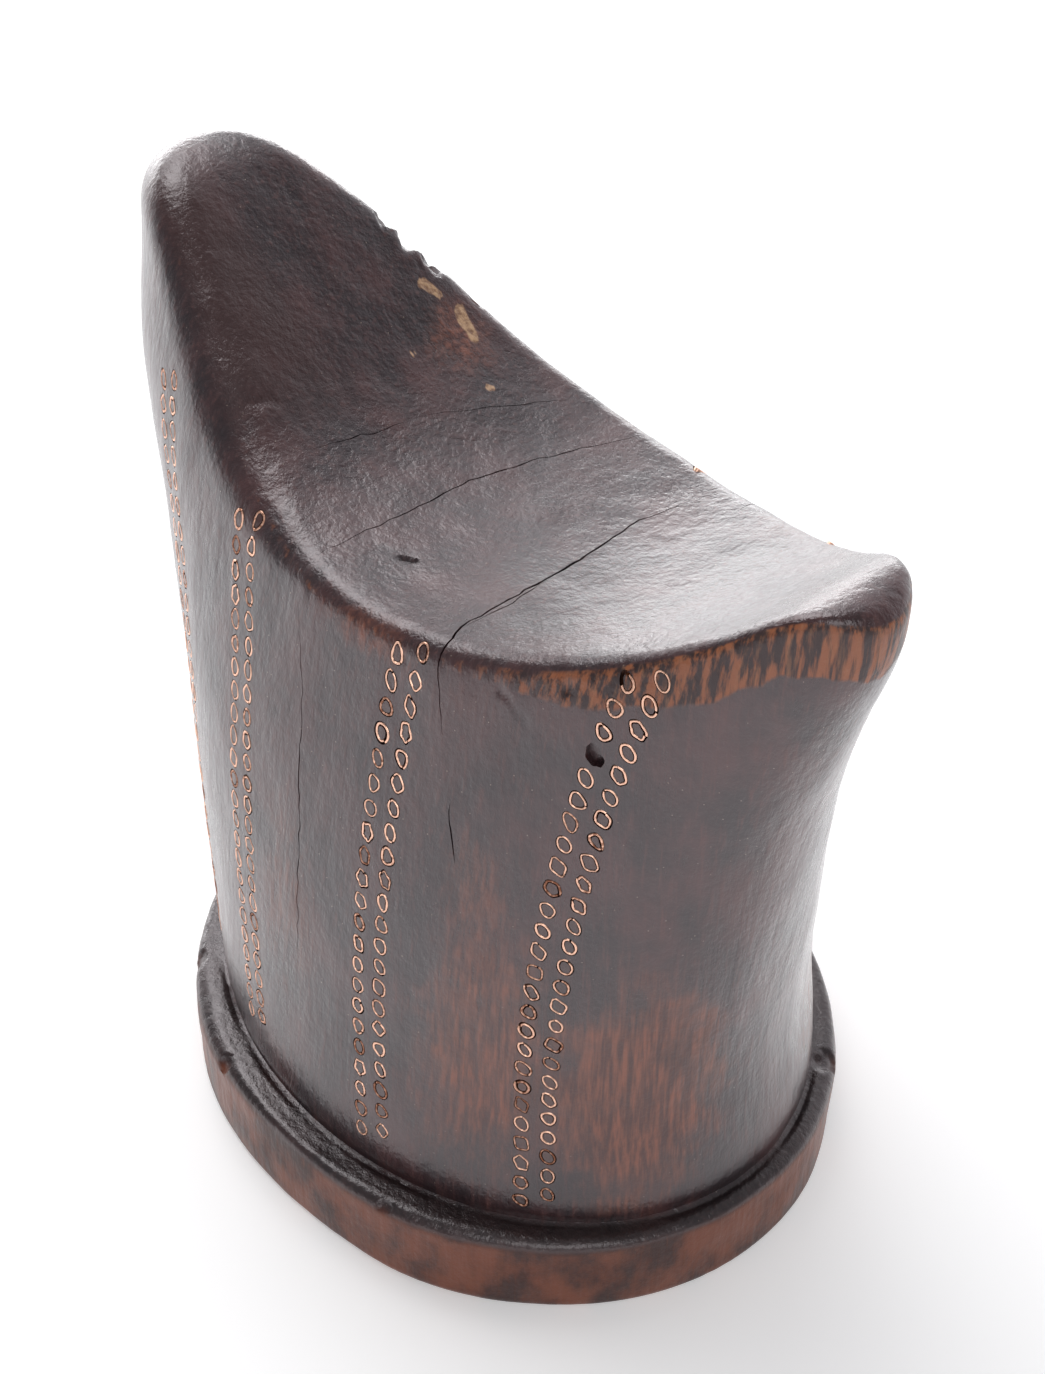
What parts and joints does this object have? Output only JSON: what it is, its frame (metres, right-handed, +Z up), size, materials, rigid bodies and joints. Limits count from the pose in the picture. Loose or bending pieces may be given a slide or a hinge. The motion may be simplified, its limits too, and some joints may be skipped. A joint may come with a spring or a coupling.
{
  "type": "headrest",
  "caption": "Carved wooden headrest: an oval plinth, a flared solid body and a concave saddle between two raised horns, inlaid with columns of copper rings.",
  "frame": {"origin": "centre of the oval underside, at the surface it stands on", "axes": "+Z up, +X towards the lower horn, -Y towards the broad front face"},
  "size_m": [0.2078, 0.139, 0.1997],
  "materials": {
    "dark_wood": "dark, hand-polished patina over carved wood, worn red-brown on the plinth and the rim",
    "copper": "copper strip bent into small rings, rubbed bright at the ends"
  },
  "bodies": {
    "root": {"headrest_block": "dark_wood", "rings_back_high_inner_left": "copper", "rings_back_high_inner_right": "copper", "rings_back_high_outer_left": "copper", "rings_back_high_outer_right": "copper", "rings_back_low_inner_left": "copper", "rings_back_low_inner_right": "copper", "rings_back_low_outer_left": "copper", "rings_back_low_outer_right": "copper", "rings_front_high_inner_left": "copper", "rings_front_high_inner_right": "copper", "rings_front_high_outer_left": "copper", "rings_front_high_outer_right": "copper", "rings_front_low_inner_left": "copper", "rings_front_low_inner_right": "copper", "rings_front_low_outer_left": "copper", "rings_front_low_outer_right": "copper"}
  },
  "joints": []
}
